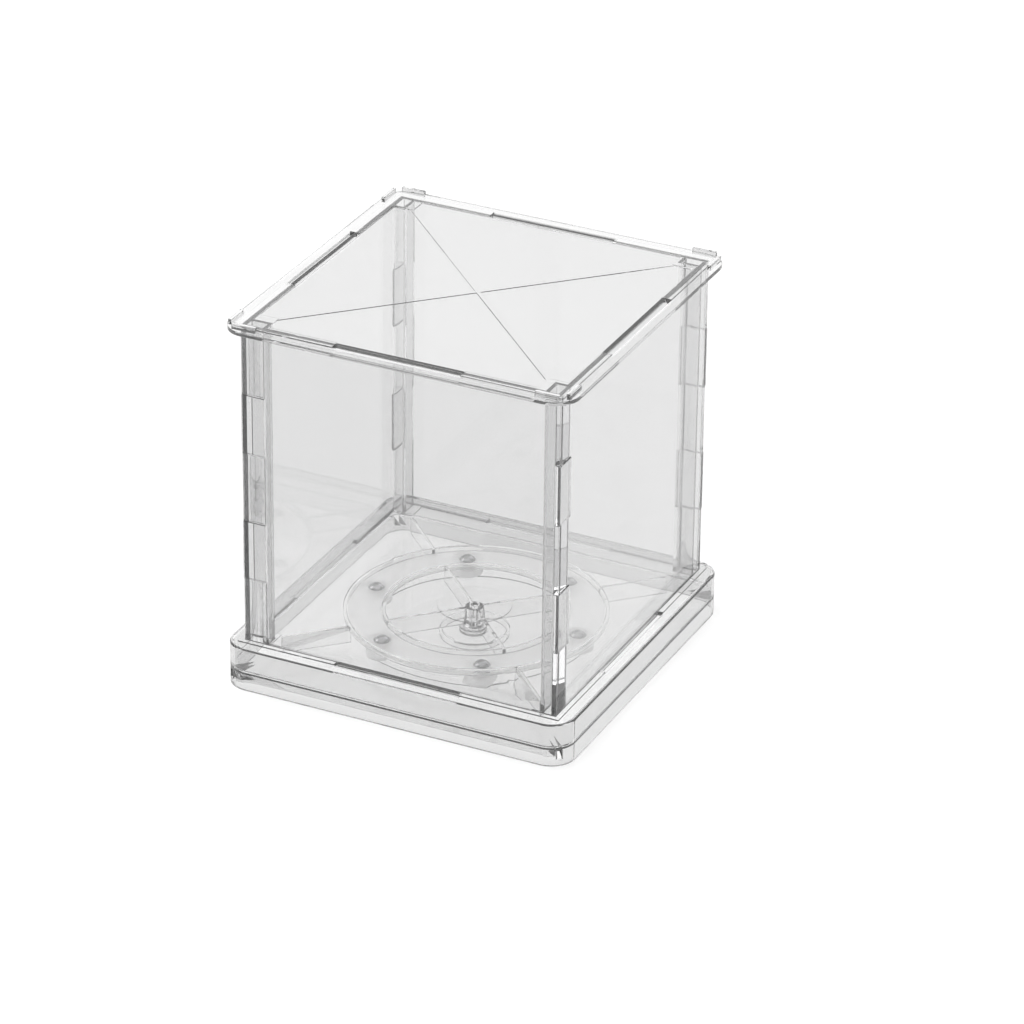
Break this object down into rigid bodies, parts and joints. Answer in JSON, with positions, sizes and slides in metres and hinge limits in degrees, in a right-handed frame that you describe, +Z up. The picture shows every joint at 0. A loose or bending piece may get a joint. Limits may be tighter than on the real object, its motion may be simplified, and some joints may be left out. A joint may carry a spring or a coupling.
{
  "type": "turning acrylic display cube",
  "caption": "Clear cube display case of four interlocking panels and a lift-off lid with slots and corner lugs, on a turntable base of deck, tray and ball ring.",
  "frame": {"origin": "centre of the tray's underside, on the surface it stands on", "axes": "+Z up; -Y the side of panel_front, +X the side of panel_right; the panels are parallel to X and Y"},
  "size_m": [0.2, 0.2, 0.211],
  "materials": {
    "clear_panel": "clear injection-moulded acrylic, polished, edges showing grey",
    "clear_base": "clear injection-moulded acrylic, polished, slightly greyer where two plates lie one over the other",
    "clear_rivet": "clear moulded plastic",
    "clear_cage": "clear moulded plastic with a faint haze",
    "steel_ball": "polished steel bearing balls, seen through the deck floor as dark domes with bright highlights"
  },
  "bodies": {
    "base": {"base_tray": "clear_base"},
    "case": {"base_deck": "clear_base", "hub_retainer": "clear_rivet", "panel_front": "clear_panel", "panel_right": "clear_panel", "panel_back": "clear_panel", "panel_left": "clear_panel"},
    "lid": {"lid": "clear_panel"},
    "cage": {"ball_cage": "clear_cage"},
    "ball_1": {"bearing_ball_1": "steel_ball"},
    "ball_2": {"bearing_ball_2": "steel_ball"},
    "ball_3": {"bearing_ball_3": "steel_ball"},
    "ball_4": {"bearing_ball_4": "steel_ball"},
    "ball_5": {"bearing_ball_5": "steel_ball"},
    "ball_6": {"bearing_ball_6": "steel_ball"}
  },
  "joints": [
    {"name": "case_turn", "type": "hinge", "parent": "base", "child": "case", "pos_m": [0, 0, 0.011], "axis": [0, 0, 1], "continuous": true},
    {"name": "cage_turn", "type": "hinge", "parent": "base", "child": "cage", "pos_m": [0, 0, 0.019], "axis": [0, 0, 1], "continuous": true},
    {"name": "ball_1_roll", "type": "hinge", "parent": "cage", "child": "ball_1", "pos_m": [0.0588, 0, 0.017], "axis": [-1, 0, 0], "continuous": true},
    {"name": "ball_2_roll", "type": "hinge", "parent": "cage", "child": "ball_2", "pos_m": [0.0294, 0.05092, 0.017], "axis": [-0.5, -0.866, 0], "continuous": true},
    {"name": "ball_3_roll", "type": "hinge", "parent": "cage", "child": "ball_3", "pos_m": [-0.0294, 0.05092, 0.017], "axis": [0.5, -0.866, 0], "continuous": true},
    {"name": "ball_4_roll", "type": "hinge", "parent": "cage", "child": "ball_4", "pos_m": [-0.0588, 0, 0.017], "axis": [1, 0, 0], "continuous": true},
    {"name": "ball_5_roll", "type": "hinge", "parent": "cage", "child": "ball_5", "pos_m": [-0.0294, -0.05092, 0.017], "axis": [0.5, 0.866, 0], "continuous": true},
    {"name": "ball_6_roll", "type": "hinge", "parent": "cage", "child": "ball_6", "pos_m": [0.0294, -0.05092, 0.017], "axis": [-0.5, 0.866, 0], "continuous": true},
    {"name": "lid_lift", "type": "slide", "parent": "case", "child": "lid", "axis": [0, 0, 1], "range_m": [0, 0.06]}
  ],
  "couplings": [
    {"joint": "cage_turn", "follows": "case_turn", "ratio": 0.5},
    {"joint": "ball_1_roll", "follows": "case_turn", "ratio": 5.547},
    {"joint": "ball_2_roll", "follows": "case_turn", "ratio": 5.547},
    {"joint": "ball_3_roll", "follows": "case_turn", "ratio": 5.547},
    {"joint": "ball_4_roll", "follows": "case_turn", "ratio": 5.547},
    {"joint": "ball_5_roll", "follows": "case_turn", "ratio": 5.547},
    {"joint": "ball_6_roll", "follows": "case_turn", "ratio": 5.547}
  ]
}
